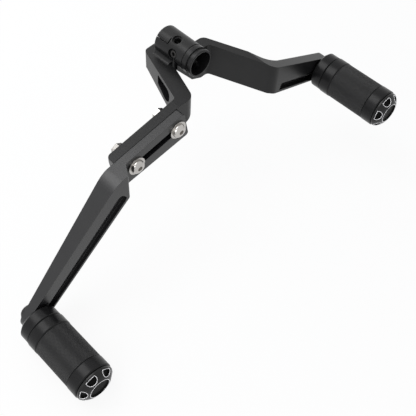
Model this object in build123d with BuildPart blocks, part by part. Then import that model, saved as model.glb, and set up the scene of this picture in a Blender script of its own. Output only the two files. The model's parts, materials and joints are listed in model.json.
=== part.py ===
from build123d import *
import math
import os

os.makedirs("parts", exist_ok=True)

# Frame: the origin is on the axis of the hub bore, in the hub's outboard face.
# +X points forward to the toe peg, +Y points outboard along the bore, +Z is up.

# Hub: a tube along Y that clamps on the shift shaft
hub_r = 12.0
hub_len = 42.0
hub_back_fillet = 1.5
hub_rim_chamfer = 0.5
bore_r = 6.5
mouth_r = 10.4
mouth_depth = 15.0
mouth_cone = 2.0
groove_r = 10.9
groove_front = 1.7
groove_width = 3.4
line_groove_r = 11.5
line_groove_front = 9.2
line_groove_width = 0.9

# Clamping slits and tapped holes of the hub
slit_width = 1.4
slit_angle = 45.0
slit_end_y = -27.6
cross_slit_sweep = 34.0
screw_hole_core_r = 3.0
screw_hole_reach = 13.0
upper_seat_r = 4.2
upper_seat_level = 10.2
lower_seat_r = 4.6
lower_seat_level = 9.4
upper_hole_y = -23.6
upper_hole_angle = 74.0
lower_hole_y = -20.6
lower_hole_angle = 14.0
set_screw_r = 2.95
set_screw_len = 4.0
set_screw_socket = 1.5
set_screw_socket_depth = 2.4
set_screw_outer_r = 10.7
thread_clearance = 0.05

# Forged body of the main lever: flat top below the hub axis
top_z = -7.5
clamp_slope = 12.0
slope_start_x = 40.0
clamp_inner_y = 9.6
clamp_face_y = 18.0
clamp_end_x = 106.5
clamp_bar_height = 23.5

# Outboard face of both arms at the pegs, and the inboard seats of the peg bolts
arm_face_y = 37.5
heel_seat_y = 28.0
toe_seat_y = 30.0
web_outer_y = -18.5
heel_x = -117.7
heel_end_margin = 22.3

# Plan corners of the main lever with the rounding of each
plan_corners = [
    (clamp_end_x, clamp_inner_y, 4.0),
    (36.4, clamp_inner_y, 4.5),
    (16.6, -48.6, 5.0),
    (-4.0, -50.0, 4.0),
    (-14.0, -29.2, 4.0),
    (-30.8, -29.2, 6.0),
    (-53.3, heel_seat_y, 16.0),
    (heel_x - heel_end_margin, heel_seat_y, 0.0),
    (heel_x - heel_end_margin, arm_face_y, 0.0),
    (-48.8, arm_face_y, 8.0),
    (-27.8, web_outer_y, 3.5),
    (11.6, web_outer_y, 3.0),
    (24.7, clamp_face_y, 9.0),
    (clamp_end_x, clamp_face_y, 1.2),
]

# Side profile of the main lever
heel_z = -50.0
heel_end_r = 10.6
heel_bend_x = -46.0
heel_bend_low_x = -49.0
heel_bend_low_z = -38.2
web_low_x = -20.0
web_low_z = -39.4
segment_low_front_x = 34.0
segment_low_front_z = -31.0
segment_low_rear_x = 18.0
segment_low_rear_z = -23.6

# Slanted underside of the web below the hub, from its toe end
web_relief_x = 8.0
web_relief_z = -14.4
web_relief_slope = 49.8
web_relief_low_z = -46.0
web_relief_inner_y = -36.0

# Round-ended opening between the hub and the middle segment
relief_from = (10.1, -19.3)
relief_to = (10.6, -16.6)
relief_r = 2.5
relief_top_z = -1.5

# Blend between the hub tube and the flat top
blend_r = 4.0
blend_back_y = -40.5
blend_toe_end_y = -22.5
blend_heel_back_y = -28.0
blend_heel_end_y = -19.5

# Milled pocket in the toe side of the middle segment: run along the face, height, rounding
face_pocket_depth = 5.0
face_pocket_at = (25.3, -22.5)
face_pocket_turn = 71.3
face_pocket_corners = [
    (0.0, -11.2, 1.5),
    (22.7, -10.5, 5.0),
    (22.7, -28.3, 8.0),
    (0.0, -20.8, 1.5),
]

# Scooped pockets in the outboard faces of the two arms
scoop_depth = 3.6
scoop_rise = 7.0
scoop_ledge = 1.6
scoop_floor = 2.4
scoop_end_land = 6.0
heel_scoop_from = (-58.0, -40.5)
toe_scoop_from = (121.0, -58.5)

# Toe arm: a bar clamped on the outboard face of the main lever
toe_x = 206.0
toe_z = -110.8
toe_end_r = 10.3
arm_clamp_thickness = 7.5
arm_rear_x = 41.6
arm_rear_top_z = -8.2
arm_rear_low_x = 36.7
arm_rear_low_z = -33.4
arm_elbow_x = 118.4
arm_elbow_z = -24.4
arm_elbow_round = 26.0
arm_crook_x = 102.5
arm_crook_z = -44.2
arm_crook_round = 9.0
arm_rear_round = 2.5
arm_end_margin = 14.0
arm_flat_reach = 16.0
arm_plan_corners = [
    (30.0, clamp_face_y, 0.0),
    (114.0, clamp_face_y, 24.0),
    (toe_x + arm_end_margin, 31.4, 0.0),
    (toe_x + arm_end_margin, arm_face_y, 0.0),
    (toe_x - arm_flat_reach, arm_face_y, 30.0),
    (106.0, 34.6, 1.6),
    (100.4, clamp_face_y + arm_clamp_thickness, 2.4),
    (30.0, clamp_face_y + arm_clamp_thickness, 0.0),
]

# Slot and the two clamp screws
screw_1 = (48.6, -20.6)
screw_2 = (91.0, -29.7)
screw_r = 3.0
screw_clearance = 0.3
slot_clearance = 0.4
slot_overrun = 1.2
washer_r = 7.75
washer_thickness = 1.2
washer_bore_clearance = 0.25
head_r = 5.9
head_height = 3.5
head_edge_land = 0.5
screw_length = 25.0
socket_flat = 2.0
socket_depth = 2.1
nut_flat = 5.0
nut_turn = 30.0
nut_height = 6.0

# Foot pegs: lengths are measured outboard from the arm's face
peg_r = 16.0
peg_ring_step = 0.5
collar_length = 11.0
inner_ring_length = 10.0
sleeve_length = 37.0
outer_ring_length = 10.4
cap_inset = 0.2
cap_edge_length = 2.0
cap_dome_length = 6.0
cap_flat_r = 5.0
collar_base_r = 14.0
collar_base_length = 2.0
line_chamfer = 0.8
spindle_r = 9.0
slide_clearance = 0.04
spindle_thread_depth = 26.0
spindle_end_recess = 1.0
cap_spigot_r = 5.0
cap_spigot_length = 6.0
window_count = 6
window_step = math.tau / window_count
window_first_angle = 15.0
window_lean = 45.0
window_lift = 0.1
window_r = 4.6
window_flat = 1.8
window_round = 0.7
window_depth = 1.9
window_draft = 28.0
centre_recess_r = 9.2
centre_recess_depth = 1.8
centre_recess_draft = 38.0

# Bolt that holds each peg from the inboard side
bolt_r = 4.0
bolt_hole_clearance = 0.25
bolt_grip_length = 24.0
bolt_head_r = 7.0
bolt_head_height = 4.4
bolt_socket_flat = 2.5
bolt_socket_depth = 2.6
bolt_washer_r = 8.0
bolt_washer_thickness = 1.6

# Sizes that follow from the ones above
body_depth = top_z - heel_z + 2 * heel_end_r
peg_ring_r = peg_r + peg_ring_step
cap_r = peg_r - cap_inset
slope_tan = math.tan(math.radians(clamp_slope))
slope_sin = math.sin(math.radians(clamp_slope))
slope_cos = math.cos(math.radians(clamp_slope))
clamp_end_top_z = top_z - (clamp_end_x - slope_start_x) * slope_tan
clamp_low_end = (
    clamp_end_x - clamp_bar_height * slope_sin,
    clamp_end_top_z - clamp_bar_height * slope_cos,
)
clamp_low_start_z = top_z - clamp_bar_height / slope_cos
slot_centre = ((screw_1[0] + screw_2[0]) / 2, (screw_1[1] + screw_2[1]) / 2)
slot_span = math.dist(screw_1, screw_2)
slot_turn = math.degrees(math.atan2(screw_2[1] - screw_1[1], screw_2[0] - screw_1[0]))
slot_half = screw_r + slot_clearance
recess_face_y = clamp_face_y + arm_clamp_thickness
head_seat_y = recess_face_y + washer_thickness
nut_seat_y = clamp_inner_y - washer_thickness
screw_tip_y = head_seat_y - screw_length
inner_ring_at = collar_length
sleeve_at = inner_ring_at + inner_ring_length
outer_ring_at = sleeve_at + sleeve_length
cap_at = outer_ring_at + outer_ring_length
sleeve_bore_r = spindle_r + slide_clearance
spindle_end = cap_at - spindle_end_recess
peg_shift = (heel_x - toe_x, 0, heel_z - toe_z)
bolt_seat_y = toe_seat_y - bolt_washer_thickness
bolt_length = arm_face_y - bolt_seat_y + bolt_grip_length
bolt_shift = (heel_x - toe_x, heel_seat_y - toe_seat_y, heel_z - toe_z)
hub_turn = math.radians(lower_hole_angle)
set_screw_plane = Plane(
    origin=(set_screw_outer_r * math.cos(hub_turn), lower_hole_y, set_screw_outer_r * math.sin(hub_turn)),
    x_dir=(0, 1, 0),
    z_dir=(math.cos(hub_turn), 0, math.sin(hub_turn)),
)
pocket_turn = math.radians(face_pocket_turn)
face_pocket_plane = Plane(
    origin=(face_pocket_at[0], face_pocket_at[1], 0),
    x_dir=(math.cos(pocket_turn), math.sin(pocket_turn), 0),
    z_dir=(math.sin(pocket_turn), -math.cos(pocket_turn), 0),
)
cap_tip = cap_at + cap_edge_length + cap_dome_length
cap_tip_plane = Plane(origin=(toe_x, arm_face_y + cap_tip, toe_z), x_dir=(-1, 0, 0), z_dir=(0, 1, 0))
cap_dome_r = ((cap_r - cap_flat_r) ** 2 + cap_dome_length**2) / (2 * cap_dome_length)
cap_dome_low = math.asin((cap_dome_r - cap_dome_length) / cap_dome_r)
cap_dome_mid = (cap_dome_low + math.pi / 2) / 2
cap_dome_centre_y = cap_tip - cap_dome_r
cap_shoulder = (
    cap_flat_r + cap_dome_r * math.cos(cap_dome_mid),
    cap_dome_centre_y + cap_dome_r * math.sin(cap_dome_mid),
)
window_lean_angle = math.radians(window_lean)
window_level_r = cap_dome_r + window_lift
window_out = cap_flat_r + window_level_r * math.cos(window_lean_angle)
window_rise = cap_dome_centre_y + window_level_r * math.sin(window_lean_angle)
blend_x = math.sqrt((hub_r + blend_r) ** 2 - (top_z + blend_r) ** 2)
blend_centre = Vector(blend_x, top_z + blend_r)
blend_on_hub = blend_centre * (hub_r / (hub_r + blend_r))
blend_on_top = Vector(blend_x, top_z)
blend_inward = (blend_on_hub - blend_centre) + (blend_on_top - blend_centre)
blend_middle = blend_centre + blend_inward.normalized() * blend_r
web_relief_run = (web_relief_z - web_relief_low_z) / math.tan(math.radians(web_relief_slope))
toe_axis = Axis((toe_x, arm_face_y, toe_z), (0, 1, 0))
toe_section = Plane(origin=(toe_x, arm_face_y, toe_z), x_dir=(1, 0, 0), z_dir=(0, 0, 1))


def tangent_point(centre_x, centre_z, radius, from_x, from_z, side):
    """Point where a line from (from_x, from_z) touches the circle, on one side."""
    gap_x = from_x - centre_x
    gap_z = from_z - centre_z
    reach = math.hypot(gap_x, gap_z)
    turn = math.atan2(gap_z, gap_x) + side * math.acos(radius / reach)
    return (centre_x + radius * math.cos(turn), centre_z + radius * math.sin(turn))


heel_top_touch = tangent_point(heel_x, heel_z, heel_end_r, heel_bend_x, top_z, 1)
heel_low_touch = tangent_point(heel_x, heel_z, heel_end_r, heel_bend_low_x, heel_bend_low_z, -1)
toe_top_touch = tangent_point(toe_x, toe_z, toe_end_r, arm_elbow_x, arm_elbow_z, -1)
toe_low_touch = tangent_point(toe_x, toe_z, toe_end_r, arm_crook_x, arm_crook_z, 1)
arm_side_corners = [
    (arm_rear_x, arm_rear_top_z, arm_rear_round),
    (arm_elbow_x, arm_elbow_z, arm_elbow_round),
    (toe_top_touch[0], toe_top_touch[1], 0.0),
    (toe_low_touch[0], toe_low_touch[1], 0.0),
    (arm_crook_x, arm_crook_z, arm_crook_round),
    (arm_rear_low_x, arm_rear_low_z, arm_rear_round),
]


def scoop_plane(from_point, to_point, face_y):
    """Section plane across an arm's lower edge: x runs inboard, y up across the arm."""
    run_x = to_point[0] - from_point[0]
    run_z = to_point[1] - from_point[1]
    return Plane(origin=(from_point[0], face_y, from_point[1]), x_dir=(0, -1, 0), z_dir=(run_x, 0, run_z))


scoop_section = [
    (-scoop_depth, scoop_ledge),
    (scoop_depth, scoop_ledge),
    (scoop_depth, scoop_ledge + scoop_floor),
    (0, scoop_ledge + scoop_rise),
    (-scoop_depth, scoop_ledge + scoop_rise),
]
heel_scoop_start = scoop_plane(heel_scoop_from, heel_low_touch, arm_face_y)
heel_scoop_length = math.dist(heel_scoop_from, heel_low_touch) - scoop_end_land
toe_scoop_start = scoop_plane(toe_scoop_from, toe_low_touch, arm_face_y)
toe_scoop_length = math.dist(toe_scoop_from, toe_low_touch) - scoop_end_land


# Main lever: hub, middle segment, clamp bar and heel arm, machined in one piece
with BuildPart() as main_lever:
    with BuildSketch(Plane.XY.offset(top_z)) as lever_plan:
        with BuildLine():
            Polyline([(x, y) for x, y, r in plan_corners], close=True)
        make_face()
        for corner_x, corner_y, corner_r in plan_corners:
            if corner_r > 0:
                fillet(lever_plan.vertices().sort_by_distance((corner_x, corner_y))[0], radius=corner_r)
    extrude(amount=-body_depth)
    with BuildSketch(Plane.XZ) as lever_side:
        with BuildLine():
            Polyline(
                [
                    heel_top_touch,
                    (heel_bend_x, top_z),
                    (slope_start_x, top_z),
                    (clamp_end_x, clamp_end_top_z),
                    clamp_low_end,
                    (slope_start_x, clamp_low_start_z),
                    (segment_low_front_x, segment_low_front_z),
                    (segment_low_rear_x, segment_low_rear_z),
                    (web_low_x, web_low_z),
                    (heel_bend_low_x, heel_bend_low_z),
                    heel_low_touch,
                ],
                close=True,
            )
        make_face()
        with Locations((heel_x, heel_z)):
            Circle(heel_end_r)
    extrude(amount=body_depth, both=True, mode=Mode.INTERSECT)

    # Slanted underside of the web that carries the hub
    with BuildSketch(Plane.XZ.offset(-web_outer_y)):
        with BuildLine():
            Polyline(
                (web_relief_x, web_relief_z),
                (web_relief_x - web_relief_run, web_relief_low_z),
                (web_relief_x, web_relief_low_z),
                close=True,
            )
        make_face()
    extrude(amount=web_outer_y - web_relief_inner_y, mode=Mode.SUBTRACT)

    # Hub tube with a rounded back edge and a broken rim, blended into the flat top
    with BuildSketch(Plane.XY) as hub_profile:
        Rectangle(hub_r, hub_len, align=(Align.MIN, Align.MAX))
        fillet(hub_profile.vertices().sort_by_distance((hub_r, -hub_len))[0], radius=hub_back_fillet)
        chamfer(hub_profile.vertices().sort_by_distance((hub_r, 0))[0], length=hub_rim_chamfer)
    revolve(axis=Axis.Y)
    for side, back_y, end_y in (
        (1, blend_back_y, blend_toe_end_y),
        (-1, blend_heel_back_y, blend_heel_end_y),
    ):
        with BuildSketch(Plane.XZ.offset(-end_y)):
            with BuildLine():
                blend_arc = ThreePointArc(
                    (side * blend_on_hub.X, blend_on_hub.Y),
                    (side * blend_middle.X, blend_middle.Y),
                    (side * blend_on_top.X, blend_on_top.Y),
                )
                Polyline(
                    blend_arc @ 1,
                    (side * blend_on_top.X, top_z - blend_r),
                    (0, top_z - blend_r),
                    blend_arc @ 0,
                )
            make_face()
        extrude(amount=end_y - back_y)

    # Round-ended opening between the hub and the middle segment
    with BuildSketch(Plane.XY.offset(relief_top_z)):
        SlotCenterPoint(
            ((relief_from[0] + relief_to[0]) / 2, (relief_from[1] + relief_to[1]) / 2),
            relief_to,
            2 * relief_r,
        )
    extrude(amount=-body_depth, mode=Mode.SUBTRACT)

    # Ring grooves behind the rim, bore and bore mouth, all turned about the hub axis
    with BuildSketch(Plane.XY) as hub_turning:
        with Locations((groove_r, -groove_front)):
            Rectangle(hub_r, groove_width, align=(Align.MIN, Align.MAX))
        with Locations((line_groove_r, -line_groove_front)):
            Rectangle(hub_r, line_groove_width, align=(Align.MIN, Align.MAX))
    hub_ring = revolve(axis=Axis.Y, mode=Mode.PRIVATE)
    with BuildSketch(Plane.XZ):
        Circle(bore_r)
    extrude(amount=body_depth, mode=Mode.SUBTRACT)
    with BuildSketch(Plane.XY):
        with BuildLine():
            Polyline(
                (0, 0),
                (mouth_r, 0),
                (mouth_r, mouth_cone - mouth_depth),
                (bore_r, -mouth_depth),
                (0, -mouth_depth),
                close=True,
            )
        make_face()
    revolve(axis=Axis.Y, mode=Mode.SUBTRACT)
    add(hub_ring, mode=Mode.SUBTRACT)

    # Axial slit from the back end and the cross slit that frees the clamp band
    with BuildSketch(Plane.XZ.offset(-slit_end_y)):
        with Locations(Rotation(0, 0, slit_angle)):
            Rectangle(2 * hub_r, slit_width, align=(Align.MIN, Align.CENTER))
    extrude(amount=body_depth, mode=Mode.SUBTRACT)
    with BuildSketch(Plane.XZ.offset(-slit_end_y)):
        with BuildLine():
            slit_start = PolarLine((0, 0), 2 * hub_r, slit_angle)
            slit_stop = PolarLine((0, 0), 2 * hub_r, slit_angle + cross_slit_sweep)
            Line(slit_start @ 1, slit_stop @ 1)
        make_face()
    extrude(amount=slit_width, mode=Mode.SUBTRACT)

    # Two tapped holes into the bore, each with a spot face on the tube
    for hole_y, hole_angle, seat_r, seat_level in (
        (upper_hole_y, upper_hole_angle, upper_seat_r, upper_seat_level),
        (lower_hole_y, lower_hole_angle, lower_seat_r, lower_seat_level),
    ):
        turn = math.radians(hole_angle)
        hole_plane = Plane(
            origin=(0, hole_y, 0),
            x_dir=(0, 1, 0),
            z_dir=(math.cos(turn), 0, math.sin(turn)),
        )
        with BuildSketch(hole_plane):
            Circle(screw_hole_core_r)
        extrude(amount=screw_hole_reach, mode=Mode.SUBTRACT)
        with BuildSketch(hole_plane.offset(seat_level)):
            Circle(seat_r)
        extrude(amount=screw_hole_reach - seat_level, mode=Mode.SUBTRACT)

    # Long rounded pocket in the toe side of the middle segment
    with BuildSketch(face_pocket_plane) as face_pocket:
        with BuildLine():
            Polyline([(run, z) for run, z, r in face_pocket_corners], close=True)
        make_face()
        for corner_run, corner_z, corner_r in face_pocket_corners:
            fillet(face_pocket.vertices().sort_by_distance((corner_run, corner_z))[0], radius=corner_r)
    extrude(amount=-face_pocket_depth, mode=Mode.SUBTRACT)

    # Scooped pocket low in the outboard face of the heel arm
    with BuildSketch(heel_scoop_start):
        with BuildLine():
            Polyline(scoop_section, close=True)
        make_face()
    extrude(amount=heel_scoop_length, mode=Mode.SUBTRACT)

    # Holes for the two clamp screws and for the heel peg's bolt
    with BuildSketch(Plane.XZ.offset(-recess_face_y)):
        with Locations(screw_1, screw_2):
            Circle(screw_r + screw_clearance)
    extrude(amount=body_depth, mode=Mode.SUBTRACT)
    with BuildSketch(Plane.XZ.offset(-arm_face_y)):
        with Locations((heel_x, heel_z)):
            Circle(bolt_r + bolt_hole_clearance)
    extrude(amount=arm_face_y - heel_seat_y, mode=Mode.SUBTRACT)
main_lever.part.label = "main_lever"
export_step(main_lever.part, "parts/main_lever.step")

# Toe arm: clamp end with the slot, elbow, and the tapered arm out to the peg
with BuildPart() as toe_arm:
    with BuildSketch(Plane.XY.offset(body_depth)) as arm_plan:
        with BuildLine():
            Polyline([(x, y) for x, y, r in arm_plan_corners], close=True)
        make_face()
        for corner_x, corner_y, corner_r in arm_plan_corners:
            if corner_r > 0:
                fillet(arm_plan.vertices().sort_by_distance((corner_x, corner_y))[0], radius=corner_r)
    extrude(amount=-2 * body_depth - abs(toe_z))
    with BuildSketch(Plane.XZ) as arm_side:
        with BuildLine():
            Polyline([(x, z) for x, z, r in arm_side_corners], close=True)
        make_face()
        for corner_x, corner_z, corner_r in arm_side_corners:
            if corner_r > 0:
                fillet(arm_side.vertices().sort_by_distance((corner_x, corner_z))[0], radius=corner_r)
        with Locations((toe_x, toe_z)):
            Circle(toe_end_r)
    extrude(amount=-body_depth, mode=Mode.INTERSECT)

    # Slot for the two screws, and the scooped pocket low in the outboard face
    with BuildSketch(Plane.XZ.offset(-recess_face_y)):
        with Locations(Location(slot_centre, slot_turn)):
            SlotCenterToCenter(slot_span + slot_overrun, 2 * slot_half)
    extrude(amount=arm_clamp_thickness, mode=Mode.SUBTRACT)
    with BuildSketch(toe_scoop_start):
        with BuildLine():
            Polyline(scoop_section, close=True)
        make_face()
    extrude(amount=toe_scoop_length, mode=Mode.SUBTRACT)
    with BuildSketch(Plane.XZ.offset(-arm_face_y)):
        with Locations((toe_x, toe_z)):
            Circle(bolt_r + bolt_hole_clearance)
    extrude(amount=arm_face_y, mode=Mode.SUBTRACT)
    with BuildSketch(Plane.XZ.offset(-toe_seat_y)):
        with Locations((toe_x, toe_z)):
            Circle(bolt_washer_r + bolt_hole_clearance)
    extrude(amount=toe_seat_y, mode=Mode.SUBTRACT)
toe_arm.part.label = "toe_arm"
export_step(toe_arm.part, "parts/toe_arm.step")

# Clamp washers: one pair under the screw heads and one pair under the nuts
with BuildPart() as clamp_washers:
    for seat_y in (recess_face_y, nut_seat_y):
        with BuildSketch(Plane.XZ.offset(-seat_y)):
            with Locations(screw_1, screw_2):
                Circle(washer_r)
                Circle(screw_r + washer_bore_clearance, mode=Mode.SUBTRACT)
        extrude(amount=-washer_thickness)
clamp_washers.part.label = "clamp_washers"
export_step(clamp_washers.part, "parts/clamp_washers.step")

# Clamp screws: two button head screws with hexagon sockets
with BuildPart() as clamp_screws:
    with BuildSketch(Plane.XZ.offset(-screw_tip_y)):
        with Locations(screw_1, screw_2):
            Circle(screw_r)
    extrude(amount=-screw_length)
    with BuildSketch(Plane.XZ.offset(-head_seat_y)):
        with Locations(screw_1, screw_2):
            Circle(head_r)
    extrude(amount=-head_height)
    head_rims = clamp_screws.edges().filter_by(GeomType.CIRCLE).group_by(Axis.Y)[-1]
    fillet(head_rims, radius=head_height - head_edge_land)
    with BuildSketch(Plane.XZ.offset(-head_seat_y - head_height)):
        with Locations(screw_1, screw_2):
            RegularPolygon(socket_flat, side_count=6, major_radius=False)
    extrude(amount=socket_depth, mode=Mode.SUBTRACT)
clamp_screws.part.label = "clamp_screws"
export_step(clamp_screws.part, "parts/clamp_screws.step")

# Clamp nuts on the inboard side of the clamp bar
with BuildPart() as clamp_nuts:
    with BuildSketch(Plane.XZ.offset(-nut_seat_y)):
        with Locations(screw_1, screw_2):
            RegularPolygon(nut_flat, side_count=6, major_radius=False, rotation=nut_turn)
            Circle(screw_r + thread_clearance, mode=Mode.SUBTRACT)
    extrude(amount=nut_height)
clamp_nuts.part.label = "clamp_nuts"
export_step(clamp_nuts.part, "parts/clamp_nuts.step")

# Set screw in the lower tapped hole of the hub
with BuildPart() as hub_set_screw:
    with BuildSketch(set_screw_plane):
        Circle(set_screw_r)
    extrude(amount=-set_screw_len)
    with BuildSketch(set_screw_plane):
        RegularPolygon(set_screw_socket, side_count=6, major_radius=False)
    extrude(amount=-set_screw_socket_depth, mode=Mode.SUBTRACT)
hub_set_screw.part.label = "hub_set_screw"
export_step(hub_set_screw.part, "parts/hub_set_screw.step")

# Toe peg spindle: base collar and the stem that carries the rings
with BuildPart() as toe_peg_spindle:
    with BuildSketch(toe_section):
        with BuildLine():
            Polyline(
                (0, 0),
                (collar_base_r, 0),
                (peg_r, collar_base_length),
                (peg_r, collar_length - line_chamfer),
                (peg_r - line_chamfer, collar_length),
                (spindle_r, collar_length),
                (spindle_r, spindle_end),
                (0, spindle_end),
                close=True,
            )
        make_face()
    revolve(axis=toe_axis)
    with BuildSketch(Plane.XZ.offset(-arm_face_y)):
        with Locations((toe_x, toe_z)):
            Circle(bolt_r + thread_clearance)
    extrude(amount=-spindle_thread_depth, mode=Mode.SUBTRACT)
    with BuildSketch(Plane.XZ.offset(-arm_face_y - spindle_end)):
        with Locations((toe_x, toe_z)):
            Circle(cap_spigot_r + slide_clearance)
    extrude(amount=cap_spigot_length + spindle_end_recess, mode=Mode.SUBTRACT)
toe_peg_spindle.part.label = "toe_peg_spindle"
export_step(toe_peg_spindle.part, "parts/toe_peg_spindle.step")

# Toe peg inner ring
with BuildPart() as toe_peg_inner_ring:
    with BuildSketch(toe_section):
        with Locations((sleeve_bore_r, inner_ring_at)):
            Rectangle(peg_ring_r - sleeve_bore_r, inner_ring_length, align=(Align.MIN, Align.MIN))
    revolve(axis=toe_axis)
    ring_rims = toe_peg_inner_ring.edges().filter_by(GeomType.CIRCLE).sort_by(SortBy.RADIUS)[-2:]
    chamfer(ring_rims, length=line_chamfer)
toe_peg_inner_ring.part.label = "toe_peg_inner_ring"
export_step(toe_peg_inner_ring.part, "parts/toe_peg_inner_ring.step")

# Toe peg sleeve: the knurled grip
with BuildPart() as toe_peg_sleeve:
    with BuildSketch(toe_section):
        with Locations((sleeve_bore_r, sleeve_at)):
            Rectangle(peg_r - sleeve_bore_r, sleeve_length, align=(Align.MIN, Align.MIN))
    revolve(axis=toe_axis)
    sleeve_rims = toe_peg_sleeve.edges().filter_by(GeomType.CIRCLE).sort_by(SortBy.RADIUS)[-2:]
    chamfer(sleeve_rims, length=line_chamfer / 2)
toe_peg_sleeve.part.label = "toe_peg_sleeve"
export_step(toe_peg_sleeve.part, "parts/toe_peg_sleeve.step")

# Toe peg outer ring
with BuildPart() as toe_peg_outer_ring:
    with BuildSketch(toe_section):
        with Locations((sleeve_bore_r, outer_ring_at)):
            Rectangle(peg_ring_r - sleeve_bore_r, outer_ring_length, align=(Align.MIN, Align.MIN))
    revolve(axis=toe_axis)
    outer_rims = toe_peg_outer_ring.edges().filter_by(GeomType.CIRCLE).sort_by(SortBy.RADIUS)[-2:]
    chamfer(outer_rims, length=line_chamfer)
toe_peg_outer_ring.part.label = "toe_peg_outer_ring"
export_step(toe_peg_outer_ring.part, "parts/toe_peg_outer_ring.step")

# Toe peg cap: domed end with a ring of windows and a spigot in the stem
with BuildPart() as toe_peg_cap:
    with BuildSketch(toe_section):
        with BuildLine():
            cap_side = Polyline(
                (0, cap_at - spindle_end_recess - cap_spigot_length),
                (cap_spigot_r, cap_at - spindle_end_recess - cap_spigot_length),
                (cap_spigot_r, cap_at),
                (cap_r - line_chamfer, cap_at),
                (cap_r, cap_at + line_chamfer),
                (cap_r, cap_at + cap_edge_length),
            )
            cap_dome = ThreePointArc(
                cap_side @ 1,
                cap_shoulder,
                (cap_flat_r, cap_tip),
            )
            Polyline(cap_dome @ 1, (0, cap_tip), cap_side @ 0)
        make_face()
    revolve(axis=toe_axis)
    with BuildSketch(cap_tip_plane):
        Circle(centre_recess_r)
    extrude(amount=-centre_recess_depth, taper=centre_recess_draft, mode=Mode.SUBTRACT)
    for window in range(window_count):
        turn = math.radians(window_first_angle) + window * window_step
        outward = Vector(math.cos(turn), 0, math.sin(turn))
        window_plane = Plane(
            origin=Vector(toe_x, arm_face_y + window_rise, toe_z) + outward * window_out,
            x_dir=(-outward.Z, 0, outward.X),
            z_dir=outward * math.cos(window_lean_angle) + Vector(0, math.sin(window_lean_angle), 0),
        )
        with BuildSketch(window_plane) as cap_window:
            Circle(window_r)
            with Locations((0, window_flat)):
                Rectangle(2 * window_r, window_r, align=(Align.CENTER, Align.MIN), mode=Mode.SUBTRACT)
            fillet(cap_window.vertices(), radius=window_round)
        extrude(amount=-window_depth, taper=window_draft, mode=Mode.SUBTRACT)
toe_peg_cap.part.label = "toe_peg_cap"
export_step(toe_peg_cap.part, "parts/toe_peg_cap.step")

# Toe peg bolt and its washer, on the inboard face of the toe arm
with BuildPart() as toe_peg_washer:
    with BuildSketch(Plane.XZ.offset(-toe_seat_y)):
        with Locations((toe_x, toe_z)):
            Circle(bolt_washer_r)
            Circle(bolt_r + bolt_hole_clearance, mode=Mode.SUBTRACT)
    extrude(amount=bolt_washer_thickness)
toe_peg_washer.part.label = "toe_peg_washer"
export_step(toe_peg_washer.part, "parts/toe_peg_washer.step")

with BuildPart() as toe_peg_bolt:
    with BuildSketch(Plane.XZ.offset(-bolt_seat_y)):
        with Locations((toe_x, toe_z)):
            Circle(bolt_r)
    extrude(amount=-bolt_length)
    with BuildSketch(Plane.XZ.offset(-bolt_seat_y)):
        with Locations((toe_x, toe_z)):
            Circle(bolt_head_r)
    extrude(amount=bolt_head_height)
    bolt_rim = toe_peg_bolt.edges().filter_by(GeomType.CIRCLE).sort_by(Axis.Y)[0]
    fillet(bolt_rim, radius=bolt_head_height - head_edge_land)
    with BuildSketch(Plane.XZ.offset(bolt_head_height - bolt_seat_y)):
        with Locations((toe_x, toe_z)):
            RegularPolygon(bolt_socket_flat, side_count=6, major_radius=False)
    extrude(amount=-bolt_socket_depth, mode=Mode.SUBTRACT)
toe_peg_bolt.part.label = "toe_peg_bolt"
export_step(toe_peg_bolt.part, "parts/toe_peg_bolt.step")

# Heel peg: the same seven pieces, moved to the heel arm
with BuildPart() as heel_peg_spindle:
    with Locations(peg_shift):
        add(toe_peg_spindle.part)
heel_peg_spindle.part.label = "heel_peg_spindle"
export_step(heel_peg_spindle.part, "parts/heel_peg_spindle.step")

with BuildPart() as heel_peg_inner_ring:
    with Locations(peg_shift):
        add(toe_peg_inner_ring.part)
heel_peg_inner_ring.part.label = "heel_peg_inner_ring"
export_step(heel_peg_inner_ring.part, "parts/heel_peg_inner_ring.step")

with BuildPart() as heel_peg_sleeve:
    with Locations(peg_shift):
        add(toe_peg_sleeve.part)
heel_peg_sleeve.part.label = "heel_peg_sleeve"
export_step(heel_peg_sleeve.part, "parts/heel_peg_sleeve.step")

with BuildPart() as heel_peg_outer_ring:
    with Locations(peg_shift):
        add(toe_peg_outer_ring.part)
heel_peg_outer_ring.part.label = "heel_peg_outer_ring"
export_step(heel_peg_outer_ring.part, "parts/heel_peg_outer_ring.step")

with BuildPart() as heel_peg_cap:
    with Locations(peg_shift):
        add(toe_peg_cap.part)
heel_peg_cap.part.label = "heel_peg_cap"
export_step(heel_peg_cap.part, "parts/heel_peg_cap.step")

with BuildPart() as heel_peg_washer:
    with Locations(bolt_shift):
        add(toe_peg_washer.part)
heel_peg_washer.part.label = "heel_peg_washer"
export_step(heel_peg_washer.part, "parts/heel_peg_washer.step")

with BuildPart() as heel_peg_bolt:
    with Locations(bolt_shift):
        add(toe_peg_bolt.part)
heel_peg_bolt.part.label = "heel_peg_bolt"
export_step(heel_peg_bolt.part, "parts/heel_peg_bolt.step")
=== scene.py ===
"""Looks of the heel and toe shift lever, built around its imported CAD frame.

Eighteen of the twenty CAD nodes carry the shape as they are.  The main lever
and the toe arm are shown by shells made from their own CAD nodes, with a few
cuts and fills that the photograph asks for.  The script also gives the
finishes, the fine knurl of the two foot pegs and the serrations of the hub
bore, and sets the floor, light and camera.
Lengths are metres in the CAD frame: +X to the toe peg, +Y outboard, +Z up.
"""

import json
import logging
import math
from dataclasses import dataclass, field
from enum import Enum
from typing import Callable, Optional, Protocol

import bmesh
import bpy
from mathutils import Matrix, Vector
from mathutils.bvhtree import BVHTree
from mathutils.interpolate import poly_3d_calc

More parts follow.
